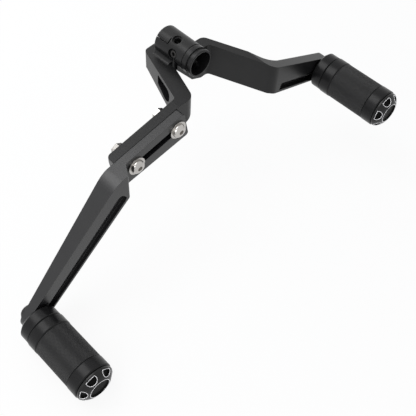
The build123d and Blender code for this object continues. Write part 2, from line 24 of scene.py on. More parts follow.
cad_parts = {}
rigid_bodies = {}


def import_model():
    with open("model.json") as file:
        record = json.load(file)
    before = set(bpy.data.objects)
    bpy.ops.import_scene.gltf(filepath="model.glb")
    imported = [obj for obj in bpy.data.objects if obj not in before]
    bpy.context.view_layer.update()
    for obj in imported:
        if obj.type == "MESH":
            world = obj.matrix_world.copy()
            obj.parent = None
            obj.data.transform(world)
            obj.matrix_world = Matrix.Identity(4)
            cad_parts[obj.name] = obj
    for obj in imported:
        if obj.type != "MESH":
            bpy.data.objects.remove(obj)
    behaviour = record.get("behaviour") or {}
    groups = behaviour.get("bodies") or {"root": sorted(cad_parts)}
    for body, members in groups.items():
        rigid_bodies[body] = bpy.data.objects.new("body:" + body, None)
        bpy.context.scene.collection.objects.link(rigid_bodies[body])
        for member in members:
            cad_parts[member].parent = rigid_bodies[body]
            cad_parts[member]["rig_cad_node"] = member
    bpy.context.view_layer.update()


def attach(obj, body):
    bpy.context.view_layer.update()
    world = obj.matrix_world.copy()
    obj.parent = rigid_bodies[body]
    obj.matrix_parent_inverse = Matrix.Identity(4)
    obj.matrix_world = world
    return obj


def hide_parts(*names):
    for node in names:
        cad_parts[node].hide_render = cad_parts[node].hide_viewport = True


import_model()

LOG = logging.getLogger("shift_lever")
ROOT_BODY = "root"
MM = 0.001
WELD_GAP = 1e-7


class Grain(Enum):
    """How the surface of a finish was worked."""

    BLASTED = "blasted"
    TURNED = "turned"
    POLISHED = "polished"


class Pegs(Enum):
    """The two foot pegs, by the start of their node names."""

    TOE = "toe_peg"
    HEEL = "heel_peg"


@dataclass(frozen=True)
class Finish:
    """A procedural surface finish.

    Attributes:
        name: Name of the Blender material.
        colour: Linear base colour.
        fleck: Colour of the lighter and darker patches of the finish.
        roughness: Mean roughness.
        spread: How far the roughness wanders up and down.
        grain: How the surface was worked.
        relief: Height of the fine relief in metres.
        metallic: Share of metal reflection.
        edge: Radius in metres by which sharp edges look broken.
        shine: Level of the surface's plain reflection.
    """

    name: str
    colour: tuple[float, float, float]
    fleck: tuple[float, float, float]
    roughness: float
    spread: float
    grain: Grain
    relief: float
    metallic: float = 0.0
    edge: float = 0.0
    shine: float = 0.5

    def material(self) -> bpy.types.Material:
        """Build the material, or return it where it exists already.

        Returns:
            The Blender material of this finish.
        """
        found = bpy.data.materials.get(self.name)
        if found is not None:
            return found
        made = bpy.data.materials.new(self.name)
        made.use_nodes = True
        ShaderWriter(made, self).write()
        LOG.info("finish %s built", self.name)
        return made


def add_node(
    tree: bpy.types.NodeTree, kind: str, links: Optional[dict] = None, **values: object
) -> bpy.types.Node:
    """Add a node to a tree, set its properties and join its inputs.

    Args:
        tree: Node tree of a material, of the world or of a geometry group.
        kind: Node type name.
        links: Input names or numbers, each with a socket or a value.
        **values: Properties to set.

    Returns:
        The new node.
    """
    made = tree.nodes.new(kind)
    for key, value in values.items():
        setattr(made, key, value)
    for key, source in (links or {}).items():
        if isinstance(source, bpy.types.NodeSocket):
            tree.links.new(source, made.inputs[key])
        else:
            made.inputs[key].default_value = source
    return made


class ShaderWriter:
    """Writes the nodes of one finish into its material."""

    GRAIN_SCALE = {
        Grain.BLASTED: (2600.0, 2600.0, 2600.0),
        Grain.TURNED: (60.0, 5200.0, 60.0),
        Grain.POLISHED: (700.0, 700.0, 700.0),
    }
    CLOUD_SCALE = (55.0, 55.0, 55.0)
    CLOUD_DETAIL = 3.0
    FINE_DETAIL = 2.0
    NOISE_ROUGHNESS = 0.55
    NOISE_RANGE = (0.3, 0.7)
    BUMP_STRENGTH = 0.6
    EDGE_SAMPLES = 6

    def __init__(self, material: bpy.types.Material, finish: Finish) -> None:
        """Keep the material and its finish.

        Args:
            material: Material with an empty node tree.
            finish: The finish to write.
        """
        self.tree = material.node_tree
        self.finish = finish
        self.tree.nodes.clear()

    def noise(
        self, coords: bpy.types.NodeSocket, scale: tuple[float, float, float], detail: float
    ) -> bpy.types.NodeSocket:
        """Noise stretched along the axes of the piece.

        Args:
            coords: Object coordinates.
            scale: Scale along X, Y and Z in 1/m.
            detail: Octaves of the noise.

        Returns:
            The noise node's factor output.
        """
        mapping = add_node(self.tree, "ShaderNodeMapping", {"Vector": coords, "Scale": scale})
        links = {
            "Vector": mapping.outputs["Vector"],
            "Scale": 1.0,
            "Detail": detail,
            "Roughness": self.NOISE_ROUGHNESS,
        }
        return add_node(self.tree, "ShaderNodeTexNoise", links).outputs["Fac"]

    def ranged(
        self, source: bpy.types.NodeSocket, low: float, high: float
    ) -> bpy.types.NodeSocket:
        """Map a noise factor to a range.

        Args:
            source: Factor between 0 and 1.
            low: Value at the low end of the noise.
            high: Value at the high end of the noise.

        Returns:
            The mapped value.
        """
        links = {
            "Value": source,
            "From Min": self.NOISE_RANGE[0],
            "From Max": self.NOISE_RANGE[1],
            "To Min": low,
            "To Max": high,
        }
        return add_node(self.tree, "ShaderNodeMapRange", links).outputs["Result"]

    def write(self) -> None:
        """Write the shader: patches, roughness, fine relief and edge rounding."""
        finish, tree = self.finish, self.tree
        coords = add_node(tree, "ShaderNodeTexCoord").outputs["Object"]
        cloud = self.noise(coords, self.CLOUD_SCALE, self.CLOUD_DETAIL)
        fine = self.noise(coords, self.GRAIN_SCALE[finish.grain], self.FINE_DETAIL)
        colours = {
            0: self.ranged(cloud, 0.0, 1.0),
            6: (*finish.colour, 1.0),
            7: (*finish.fleck, 1.0),
        }
        mix = add_node(tree, "ShaderNodeMix", colours, data_type="RGBA")
        low, high = finish.roughness - finish.spread, finish.roughness + finish.spread
        relief = {"Strength": self.BUMP_STRENGTH, "Distance": finish.relief, "Height": fine}
        if finish.edge > 0:
            bevel = add_node(
                tree, "ShaderNodeBevel", {"Radius": finish.edge}, samples=self.EDGE_SAMPLES
            )
            relief["Normal"] = bevel.outputs["Normal"]
        links = {
            "Base Color": mix.outputs[2],
            "Roughness": self.ranged(fine, low, high),
            "Metallic": finish.metallic,
            "Specular IOR Level": finish.shine,
            "Normal": add_node(tree, "ShaderNodeBump", relief).outputs["Normal"],
        }
        shader = add_node(tree, "ShaderNodeBsdfPrincipled", links)
        add_node(tree, "ShaderNodeOutputMaterial", {"Surface": shader.outputs["BSDF"]})


BLACK_LEVER = Finish(
    name="anodised_lever",
    colour=(0.0055, 0.0055, 0.006),
    fleck=(0.008, 0.008, 0.0085),
    roughness=0.34,
    spread=0.05,
    grain=Grain.BLASTED,
    relief=0.02 * MM,
    edge=0.4 * MM,
    shine=0.27,
)
BLACK_ARM = Finish(
    name="anodised_arm",
    colour=(0.006, 0.006, 0.007),
    fleck=(0.009, 0.009, 0.01),
    roughness=0.34,
    spread=0.05,
    grain=Grain.BLASTED,
    relief=0.02 * MM,
    edge=0.4 * MM,
    shine=0.55,
)
BLACK_TURNED = Finish(
    name="anodised_turned",
    colour=(0.005, 0.005, 0.0055),
    fleck=(0.0075, 0.0075, 0.008),
    roughness=0.3,
    spread=0.06,
    grain=Grain.TURNED,
    relief=0.02 * MM,
    edge=0.2 * MM,
    shine=0.2,
)
BLACK_KNURL = Finish(
    name="anodised_knurl",
    colour=(0.006, 0.006, 0.0065),
    fleck=(0.009, 0.009, 0.0095),
    roughness=0.36,
    spread=0.06,
    grain=Grain.BLASTED,
    relief=0.03 * MM,
    shine=0.3,
)
BLACK_CAP = Finish(
    name="anodised_cap",
    colour=(0.004, 0.004, 0.0045),
    fleck=(0.007, 0.007, 0.007),
    roughness=0.3,
    spread=0.05,
    grain=Grain.TURNED,
    relief=0.01 * MM,
    edge=0.2 * MM,
    shine=0.3,
)
# Painted shade: a darker, duller black for the faces inside the cap windows. It stands in for the
# shade in these recesses.
WINDOW_PAINTED_SHADE = Finish(
    name="anodised_deep",
    colour=(0.002, 0.002, 0.002),
    fleck=(0.004, 0.004, 0.004),
    roughness=0.5,
    spread=0.08,
    grain=Grain.BLASTED,
    relief=0.02 * MM,
    shine=0.06,
)
BARE_CUT = Finish(
    name="bare_cut_edges",
    colour=(0.86, 0.86, 0.87),
    fleck=(0.78, 0.78, 0.8),
    roughness=0.28,
    spread=0.05,
    metallic=0.9,
    grain=Grain.POLISHED,
    relief=0.01 * MM,
)
BRIGHT_STEEL = Finish(
    name="stainless_bright",
    colour=(0.5, 0.485, 0.465),
    fleck=(0.4, 0.385, 0.37),
    roughness=0.16,
    spread=0.05,
    metallic=1.0,
    grain=Grain.POLISHED,
    relief=0.01 * MM,
    edge=0.2 * MM,
)
DARK_STEEL = Finish(
    name="steel_black_oxide",
    colour=(0.03, 0.03, 0.032),
    fleck=(0.05, 0.048, 0.046),
    roughness=0.4,
    spread=0.08,
    metallic=0.9,
    grain=Grain.POLISHED,
    relief=0.02 * MM,
    edge=0.2 * MM,
)


def add_object(name: str, data: bpy.types.ID) -> bpy.types.Object:
    """Make an object of the data and put it in the scene.

    Args:
        name: Name of the object.
        data: Mesh, curve, lamp or camera.

    Returns:
        The new object.
    """
    made = bpy.data.objects.new(name, data)
    bpy.context.scene.collection.objects.link(made)
    return made


def baked_mesh(source: bpy.types.Object) -> bpy.types.Mesh:
    """Keep an object's evaluated form as a plain mesh.

    Args:
        source: Object with a modifier or a bevelled curve.

    Returns:
        The new mesh.
    """
    graph = bpy.context.evaluated_depsgraph_get()
    return bpy.data.meshes.new_from_object(source.evaluated_get(graph), depsgraph=graph)


class NodeDresser:
    """Gives CAD nodes their finishes without touching their shape."""

    FINISHES: dict[str, Finish] = {
        "main_lever": BLACK_LEVER,
        "toe_arm": BLACK_ARM,
        "clamp_washers": BRIGHT_STEEL,
        "clamp_screws": BRIGHT_STEEL,
        "clamp_nuts": BRIGHT_STEEL,
        "hub_set_screw": DARK_STEEL,
        "peg_spindle": BLACK_TURNED,
        "peg_inner_ring": BLACK_TURNED,
        "peg_sleeve": BLACK_KNURL,
        "peg_outer_ring": BLACK_TURNED,
        "peg_cap": BLACK_CAP,
        "peg_washer": DARK_STEEL,
        "peg_bolt": DARK_STEEL,
    }

    def dress(self, nodes: dict[str, bpy.types.Object]) -> None:
        """Dress every CAD node.

        Args:
            nodes: CAD nodes by name.
        """
        for name, node in nodes.items():
            key = next(k for k in self.FINISHES if name.endswith(k))
            node.data.materials.clear()
            node.data.materials.append(self.FINISHES[key].material())
            LOG.info("node %s dressed as %s", name, self.FINISHES[key].name)
            if key == "peg_cap":
                self.mark_cuts(node)

    @staticmethod
    def mark_cuts(cap: bpy.types.Object) -> None:
        """Paint shade into a cap's windows with a darker, duller material, and line their edges
        with bare metal.

        Args:
            cap: The CAD node of a peg's cap, turned about the Y axis.
        """
        cuts, mesh = CapCuts(), cap.data
        # The faces inside the windows take this second material, which is painted shade.
        mesh.materials.append(WINDOW_PAINTED_SHADE.material())
        xs = [v.co.x for v in mesh.vertices]
        zs = [v.co.z for v in mesh.vertices]
        middle = Vector(((min(xs) + max(xs)) / 2, 0.0, (min(zs) + max(zs)) / 2))
        inner = set()
        for face in mesh.polygons:
            if cuts.inside(face.center - middle):
                face.material_index = 1
                inner.add(face.index)
        cuts.line_edges(cap, inner)
        LOG.info("%s: %d faces in its windows", cap.name, len(inner))


@dataclass(frozen=True)
class CapCuts:
    """The form of a cap's outer end, and the bare edges of its windows.

    Attributes:
        back: Y of the cap's back.
        tip: Y of the cap's tip.
        flat: Radius of the flat at the tip.
        dome: Radius of the rounded shoulder.
        rim: Radius beyond which nothing is cut.
        sink: Least depth of a cut face under the dome.
        line: Radius of the bare edge line.
        skirt: Least distance of a cut from the cap's back.
    """

    back: float = 105.9 * MM
    tip: float = 113.9 * MM
    flat: float = 5.0 * MM
    dome: float = 12.72 * MM
    rim: float = 15.4 * MM
    sink: float = 0.15 * MM
    line: float = 0.26 * MM
    skirt: float = 0.5 * MM

    def inside(self, spot: Vector) -> bool:
        """Say whether a point of the cap lies in a window or in the recess.

        Args:
            spot: Point from the cap's axis.

        Returns:
            True if the point lies under the dome's surface.
        """
        reach = math.hypot(spot.x, spot.z)
        if spot.y < self.back + self.skirt or reach > self.rim:
            return False
        if reach < self.flat:
            return self.tip - spot.y > self.sink
        bulge = math.hypot(reach - self.flat, spot.y - (self.tip - self.dome))
        return self.dome - bulge > self.sink

    @staticmethod
    def take_chain(mouths: set[bmesh.types.BMEdge]) -> list[bmesh.types.BMVert]:
        """Take one run of joined edges out of the mouths.

        Args:
            mouths: Edges of the mouths that are left.

        Returns:
            The corners of the run in their order.
        """
        edge = min(mouths, key=lambda e: e.index)
        mouths.discard(edge)
        chain = [edge.verts[0], edge.verts[1]]
        while True:
            after = next((e for e in chain[-1].link_edges if e in mouths), None)
            if after is None:
                return chain
            mouths.discard(after)
            chain.append(after.other_vert(chain[-1]))

    def line_edges(self, cap: bpy.types.Object, inner: set[int]) -> None:
        """Lay a thin line of bare metal along the mouth of each cut.

        Args:
            cap: The CAD node of the cap.
            inner: Numbers of the faces that lie in a cut.
        """
        mesh = bmesh.new()
        mesh.from_mesh(cap.data)
        mesh.transform(cap.matrix_world)
        mesh.faces.ensure_lookup_table()
        cut = {mesh.faces[i] for i in inner}
        bmesh.ops.remove_doubles(mesh, verts=mesh.verts, dist=WELD_GAP)
        mouths = {
            edge
            for edge in mesh.edges
            if len(edge.link_faces) == 2 and sum(face in cut for face in edge.link_faces) == 1
        }
        curve = bpy.data.curves.new(cap.name + "_edges", "CURVE")
        curve.dimensions = "3D"
        curve.bevel_depth = self.line
        curve.bevel_resolution = 1
        while mouths:
            chain = self.take_chain(mouths)
            spline = curve.splines.new("POLY")
            closed = chain[0] == chain[-1]
            chain = chain[:-1] if closed else chain
            spline.points.add(len(chain) - 1)
            spline.use_cyclic_u = closed
            for point, vert in zip(spline.points, chain):
                point.co = (*vert.co, 1.0)
        top = max(v.co.y for v in mesh.verts)
        mesh.free()
        holder = add_object(cap.name + "_edges", curve)
        data = baked_mesh(holder)
        bpy.data.objects.remove(holder)
        for vert in data.vertices:
            vert.co.y = min(vert.co.y, top)
        piece = add_object(cap.name + "_bare_edges", data)
        data.materials.clear()
        data.materials.append(BARE_CUT.material())
        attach(piece, ROOT_BODY)
        LOG.info("%s: %d faces", piece.name, len(data.polygons))


class NodeTree:
    """A small writer for geometry node groups."""

    def __init__(self, name: str) -> None:
        """Create an empty geometry group with a geometry output.

        Args:
            name: Name of the group.
        """
        self.group = bpy.data.node_groups.new(name, "GeometryNodeTree")
        self.group.interface.new_socket(
            "Geometry", in_out="OUTPUT", socket_type="NodeSocketGeometry"
        )
        self.inputs = self.group.nodes.new("NodeGroupInput")
        self.outputs = self.group.nodes.new("NodeGroupOutput")

    def give(self, name: str, kind: str, value: object) -> bpy.types.NodeSocket:
        """Add a named input to the group.

        Args:
            name: Name of the input.
            kind: Socket type.
            value: Default value.

        Returns:
            The socket that carries the value inside the group.
        """
        socket = self.group.interface.new_socket(name, in_out="INPUT", socket_type=kind)
        if value is not None:
            socket.default_value = value
        return self.inputs.outputs[name]

    def add(self, kind: str, links: Optional[dict] = None, **values: object) -> bpy.types.Node:
        """Add a node, set its properties and join its inputs.

        Args:
            kind: Node type name.
            links: Input names or numbers, each with a socket or a value.
            **values: Properties to set.

        Returns:
            The new node.
        """
        return add_node(self.group, kind, links, **values)

    def maths(self, operation: str, first: object, second: object = 0.0) -> bpy.types.NodeSocket:
        """Add a maths node.

        Args:
            operation: Name of the operation.
            first: First operand, a socket or a number.
            second: Second operand, a socket or a number.

        Returns:
            The result socket.
        """
        return self.add("ShaderNodeMath", {0: first, 1: second}, operation=operation).outputs[0]

    def jitter(self, least: float, seed: bpy.types.NodeSocket) -> bpy.types.NodeSocket:
        """Give each copy a random share of its size.

        Args:
            least: Least share.
            seed: Seed of the random shares.

        Returns:
            A share between the least one and 1.
        """
        limits = {2: least, 3: 1.0, "Seed": seed}
        return self.add("FunctionNodeRandomValue", limits, data_type="FLOAT").outputs[1]

    def polar(
        self, angle: bpy.types.NodeSocket, radius: bpy.types.NodeSocket, along: object = 0.0
    ) -> tuple[bpy.types.NodeSocket, bpy.types.NodeSocket]:
        """Turn an angle about the Y axis into a direction and a place.

        Args:
            angle: Angle from +X to +Z.
            radius: Distance from the axis.
            along: Place along the axis.

        Returns:
            The outward direction and the place.
        """
        cos, sin = self.maths("COSINE", angle), self.maths("SINE", angle)
        radial = self.add("ShaderNodeCombineXYZ", {"X": cos, "Z": sin}).outputs[0]
        across = self.maths("MULTIPLY", cos, radius)
        upward = self.maths("MULTIPLY", sin, radius)
        spot = self.add("ShaderNodeCombineXYZ", {"X": across, "Y": along, "Z": upward})
        return radial, spot.outputs[0]

    def stand(
        self,
        count: bpy.types.NodeSocket,
        places: tuple[bpy.types.NodeSocket, bpy.types.NodeSocket],
        shape: bpy.types.NodeSocket,
        scale: bpy.types.NodeSocket,
    ) -> bpy.types.NodeSocket:
        """Stand a copy of a shape at each place, facing outward.

        Args:
            count: Number of copies.
            places: Outward direction and place of each copy.
            shape: The shape that is repeated.
            scale: Scale of each copy.

        Returns:
            The copies.
        """
        radial, spot = places
        points = self.add("GeometryNodePoints", {"Count": count}).outputs[0]
        laid = self.add("GeometryNodeSetPosition", {"Geometry": points, "Position": spot})
        turned = self.add(
            "FunctionNodeAlignRotationToVector", {"Vector": radial}, axis="Z", pivot_axis="Y"
        )
        links = {
            "Points": laid.outputs[0],
            "Instance": shape,
            "Rotation": turned.outputs[0],
            "Scale": scale,
        }
        return self.add("GeometryNodeInstanceOnPoints", links).outputs[0]

    def finish(self, geometry: bpy.types.NodeSocket, material: bpy.types.NodeSocket) -> None:
        """End the group with real geometry and its material.

        Args:
            geometry: The geometry with instances.
            material: The material input.
        """
        real = self.add("GeometryNodeRealizeInstances", {"Geometry": geometry})
        dressed = self.add(
            "GeometryNodeSetMaterial", {"Geometry": real.outputs[0], "Material": material}
        )
        self.group.links.new(dressed.outputs[0], self.outputs.inputs[0])


class RepeatPiece:
    """A piece made by a geometry group and kept as a plain mesh."""

    def __init__(self, name: str, group: bpy.types.NodeTree, finish: Finish) -> None:
        """Run the group on an empty mesh and keep its result.

        Args:
            name: Name of the piece.
            group: Geometry group with a Material input.
            finish: Finish of the piece.
        """
        self.obj = add_object(name, bpy.data.meshes.new(name + "_seed"))
        modifier = self.obj.modifiers.new("repeat", "NODES")
        modifier.node_group = group
        for item in group.interface.items_tree:
            if item.item_type == "SOCKET" and item.name == "Material":
                modifier[item.identifier] = finish.material()
        baked = baked_mesh(self.obj)
        self.obj.modifiers.remove(modifier)
        baked.name = name
        self.obj.data = baked
        baked.materials.clear()
        baked.materials.append(finish.material())

    def place(self, turn: Matrix, body: str, slot: str) -> None:
        """Put the mesh in place and ride it on its CAD body.

        Args:
            turn: Transform from the piece's own axes to the CAD frame.
            body: CAD body that carries the piece.
            slot: Material slot of the record; not used.
        """
        self.obj.data.transform(turn)
        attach(self.obj, body)
        LOG.info("%s: %d faces", self.obj.name, len(self.obj.data.polygons))


@dataclass
class Knurl:
    """Diamond knurl that stands on the sleeve of a peg.

    Attributes:
        radius: Radius of the sleeve.
        length: Length that the knurl covers.
        around: Diamonds around the sleeve.
        rows: Rows of diamonds along the sleeve.
        height: Height of a diamond.
        seed: Seed of the small differences in height.
        least: Least share of the full height.
    """

    radius: float = 16.0 * MM
    length: float = 35.6 * MM
    around: int = 72
    rows: int = 50
    height: float = 0.28 * MM
    seed: int = 7
    least: float = 0.92

    def group(self, name: str) -> bpy.types.NodeTree:
        """Write the geometry group of the knurl about the Y axis.

        Args:
            name: Name of the group.

        Returns:
            The geometry group.
        """
        tree = NodeTree(name)
        radius = tree.give("Radius", "NodeSocketFloat", self.radius)
        length = tree.give("Length", "NodeSocketFloat", self.length)
        around = tree.give("Around", "NodeSocketInt", self.around)
        rows = tree.give("Rows", "NodeSocketInt", self.rows)
        height = tree.give("Height", "NodeSocketFloat", self.height)
        seed = tree.give("Seed", "NodeSocketInt", self.seed)
        material = tree.give("Material", "NodeSocketMaterial", None)
        count = tree.maths("MULTIPLY", around, rows)
        index = tree.add("GeometryNodeInputIndex").outputs[0]
        row = tree.maths("FLOOR", tree.maths("DIVIDE", index, around))
        column = tree.maths("MODULO", index, around)
        odd = tree.maths("MULTIPLY", tree.maths("MODULO", row, 2.0), 0.5)
        share = tree.maths("DIVIDE", tree.maths("ADD", column, odd), around)
        angle = tree.maths("MULTIPLY", share, math.tau)
        last = tree.maths("SUBTRACT", rows, 1.0)
        along = tree.maths("MULTIPLY", tree.maths("DIVIDE", row, last), length)
        pitch = tree.maths("DIVIDE", tree.maths("MULTIPLY", radius, math.tau), around)
        foot = tree.maths("MULTIPLY", pitch, 0.5)
        tooth = tree.add(
            "GeometryNodeMeshCone",
            {"Vertices": 4, "Radius Top": 0.0, "Radius Bottom": foot, "Depth": height},
            fill_type="NONE",
        )
        jitter = tree.jitter(self.least, seed)
        size = tree.add("ShaderNodeCombineXYZ", {"X": 1.0, "Y": 1.0, "Z": jitter}).outputs[0]
        places = tree.polar(angle, radius, along)
        teeth = tree.stand(count, places, tooth.outputs["Mesh"], size)
        tree.finish(teeth, material)
        return tree.group


@dataclass
class RidgeRing:
    """Ridges round a bore, all alike.

    Attributes:
        radius: Radius at which the ridges stand.
        count: Number of ridges.
        length: Length of a ridge along the axis.
        width: Width of a ridge.
        height: Height of a ridge.
        seed: Seed of the small differences in length.
        least: Least share of the full length.
    """

    radius: float
    count: int
    length: float
    width: float
    height: float
    seed: int = 3
    least: float = 0.98

    def group(self, name: str) -> bpy.types.NodeTree:
        """Write the geometry group of ridges about the Y axis.

        Args:
            name: Name of the group.

        Returns:
            The geometry group.
        """
        tree = NodeTree(name)
        radius = tree.give("Radius", "NodeSocketFloat", self.radius)
        count = tree.give("Count", "NodeSocketInt", self.count)
        length = tree.give("Length", "NodeSocketFloat", self.length)
        width = tree.give("Width", "NodeSocketFloat", self.width)
        height = tree.give("Height", "NodeSocketFloat", self.height)
        seed = tree.give("Seed", "NodeSocketInt", self.seed)
        material = tree.give("Material", "NodeSocketMaterial", None)
        index = tree.add("GeometryNodeInputIndex").outputs[0]
        angle = tree.maths("MULTIPLY", tree.maths("DIVIDE", index, count), math.tau)
        size = tree.add("ShaderNodeCombineXYZ", {"X": width, "Y": length, "Z": height}).outputs[0]
        ridge = tree.add("GeometryNodeMeshCube", {"Size": size})
        jitter = tree.jitter(self.least, seed)
        scale = tree.add("ShaderNodeCombineXYZ", {"X": 1.0, "Y": jitter, "Z": 1.0}).outputs[0]
        places = tree.polar(angle, radius)
        ridges = tree.stand(count, places, ridge.outputs["Mesh"], scale)
        tree.finish(ridges, material)
        return tree.group


@dataclass
class FootPeg:
    """The dressed look of one foot peg.

    Attributes:
        which: Toe or heel peg.
        axis_x: X of the peg's axis.
        axis_z: Z of the peg's axis.
        arm_face: Y of the arm's outboard face.
        rings: Length of the collar and the inner ring.
        plain: Plain length of the sleeve before the knurl.
        knurl: The knurl of the sleeve.
    """

    which: Pegs
    axis_x: float
    axis_z: float
    arm_face: float = 37.5 * MM
    rings: float = 21.0 * MM
    plain: float = 0.7 * MM
    knurl: Knurl = field(default_factory=Knurl)

    def build(self) -> None:
        """Build the knurl and put it on the sleeve."""
        name = f"{self.which.value}_knurl"
        piece = RepeatPiece(name, self.knurl.group(name + "_nodes"), BLACK_KNURL)
        start = self.arm_face + self.rings + self.plain
        turn = Matrix.Translation((self.axis_x, start, self.axis_z))
        piece.place(turn, ROOT_BODY, "black_knurl")


def keep_mesh(mesh: bmesh.types.BMesh, name: str, place: Matrix) -> bpy.types.Object:
    """Turn a working mesh into an object.

    Args:
        mesh: The working mesh.
        name: Name of the object.
        place: Transform into the CAD frame.

    Returns:
        The object, unturned and at the origin.
    """
    mesh.transform(place)
    data = bpy.data.meshes.new(name)
    mesh.to_mesh(data)
    mesh.free()
    return add_object(name, data)


def skin_rings(mesh: bmesh.types.BMesh, rings: list[list[bmesh.types.BMVert]]) -> None:
    """Close a row of rings into one solid skin, with a face at each end.

    Args:
        mesh: The working mesh.
        rings: Corners of each ring, as many in every ring.
    """
    mesh.faces.new(rings[0])
    mesh.faces.new(rings[-1])
    for first, second in zip(rings, rings[1:]):
        for index in range(len(first)):
            after = (index + 1) % len(first)
            mesh.faces.new((first[index], first[after], second[after], second[index]))


class Tool(Protocol):
    """A solid form that a shell is cut or filled with."""

    def build(self, name: str) -> bpy.types.Object:
        """Build the form as a closed mesh.

        Args:
            name: Name of the object.

        Returns:
            The object, in the CAD frame.
        """


@dataclass(frozen=True)
class Prism:
    """A straight prism in its own axes, placed in the CAD frame.

    Attributes:
        corners: Corners of the outline in millimetres, with the rounding of each.
        low: Height of the lower end in millimetres.
        high: Height of the upper end in millimetres.
        place: Transform from the prism's axes to the CAD frame.
    """

    corners: tuple[tuple[float, float, float], ...]
    low: float
    high: float
    place: Matrix = field(default_factory=Matrix)

    def outline(self, steps: int = 10) -> list[Vector]:
        """Round the corners.

        Args:
            steps: Straight steps in each rounded corner.

        Returns:
            Points of the rounded outline.
        """
        points = []
        count = len(self.corners)
        for index, (x, y, rounding) in enumerate(self.corners):
            here = Vector((x, y))
            before = (Vector(self.corners[index - 1][:2]) - here).normalized()
            after = (Vector(self.corners[(index + 1) % count][:2]) - here).normalized()
            if rounding == 0:
                points.append(here)
                continue
            half = before.angle(after) / 2
            start = here + before * rounding / math.tan(half)
            end = here + after * rounding / math.tan(half)
            middle = here + (before + after).normalized() * rounding / math.sin(half)
            for step in range(steps + 1):
                first, last = (start - middle).normalized(), (end - middle).normalized()
                points.append(middle + first.slerp(last, step / steps) * rounding)
        return points

    def build(self, name: str) -> bpy.types.Object:
        """Build the prism as a closed mesh.

        Args:
            name: Name of the object.

        Returns:
            The object, in the CAD frame.
        """
        mesh = bmesh.new()
        rings = [
            [mesh.verts.new((p.x * MM, p.y * MM, level * MM)) for p in self.outline()]
            for level in (self.low, self.high)
        ]
        skin_rings(mesh, rings)
        bmesh.ops.recalc_face_normals(mesh, faces=mesh.faces)
        return keep_mesh(mesh, name, self.place)


@dataclass(frozen=True)
class HubSector:
    """A sector of the hub tube, turned about the hub's axis.

    Attributes:
        stations: Y and outer radius of each ring in millimetres.
        inner: Inner radius in millimetres.
        start: First angle in degrees from +X to +Z.
        stop: Last angle in degrees.
        steps: Steps between the two angles.
    """

    stations: tuple[tuple[float, float], ...]
    inner: float
    start: float
    stop: float
    steps: int = 24

    def build(self, name: str) -> bpy.types.Object:
        """Build the sector as a closed mesh.

        Args:
            name: Name of the object.

        Returns:
            The object, in the CAD frame.
        """
        mesh = bmesh.new()
        profile = [(y, r) for y, r in self.stations]
        profile += [(y, self.inner) for y, _ in reversed(self.stations)]
        rings = []
        for step in range(self.steps + 1):
            turn = math.radians(self.start + (self.stop - self.start) * step / self.steps)
            x, z = math.cos(turn) * MM, math.sin(turn) * MM
            rings.append([mesh.verts.new((r * x, y * MM, r * z)) for y, r in profile])
        skin_rings(mesh, rings)
        bmesh.ops.recalc_face_normals(mesh, faces=mesh.faces)
        return keep_mesh(mesh, name, Matrix())


@dataclass(frozen=True)
class ArmScoop:
    """The long scooped pocket low in the outboard face of the toe arm.

    Attributes:
        crook: X and Z where the arm's lower edge starts, in millimetres.
        slope: Fall of the lower edge in degrees.
        face: Two points of the outboard face, each X and Y in millimetres.
        stations: Run, low side, high side and depth of each section, in millimetres.
        floor: Share of the height that lies at full depth.
        outside: Reach of the cutter past the face in millimetres.
    """

    crook: tuple[float, float] = (102.5, -44.2)
    slope: float = 37.56
    face: tuple[tuple[float, float], tuple[float, float]] = ((106.0, 34.6), (190.0, 37.5))
    stations: tuple[tuple[float, float, float, float], ...] = (
        (5.0, 5.2, 8.6, 0.5),
        (5.5, 3.8, 10.8, 1.8),
        (6.6, 2.8, 12.4, 2.9),
        (8.8, 2.2, 13.2, 3.4),
        (60.0, 1.9, 11.6, 3.4),
        (104.0, 1.7, 10.0, 3.4),
        (112.0, 1.7, 9.8, 3.4),
    )
    floor: float = 0.25
    outside: float = 2.0

    def spot(self, run: float, rise: float, sink: float) -> Vector:
        """Find a point by its place on the arm's face.

        Args:
            run: Distance along the lower edge.
            rise: Distance above the lower edge.
            sink: Depth under the outboard face.

        Returns:
            The point in metres in the CAD frame.
        """
        fall = math.radians(self.slope)
        x = self.crook[0] + run * math.cos(fall) + rise * math.sin(fall)
        z = self.crook[1] - run * math.sin(fall) + rise * math.cos(fall)
        (x_0, y_0), (x_1, y_1) = self.face
        y = min(y_0 + (x - x_0) * (y_1 - y_0) / (x_1 - x_0), y_1) - sink
        return Vector((x, y, z)) * MM

    def build(self, name: str) -> bpy.types.Object:
        """Build the cutter as a closed mesh.

        Args:
            name: Name of the object.

        Returns:
            The object, in the CAD frame.
        """
        mesh = bmesh.new()
        rings = []
        for run, low, high, depth in self.stations:
            ledge = low + self.floor * (high - low)
            back = -self.outside
            section = ((low, back), (low, depth), (ledge, depth), (high, 0.0), (high, back))
            rings.append([mesh.verts.new(self.spot(run, rise, sink)) for rise, sink in section])
        skin_rings(mesh, rings)
        bmesh.ops.triangulate(mesh, faces=mesh.faces)
        bmesh.ops.recalc_face_normals(mesh, faces=mesh.faces)
        return keep_mesh(mesh, name, Matrix())


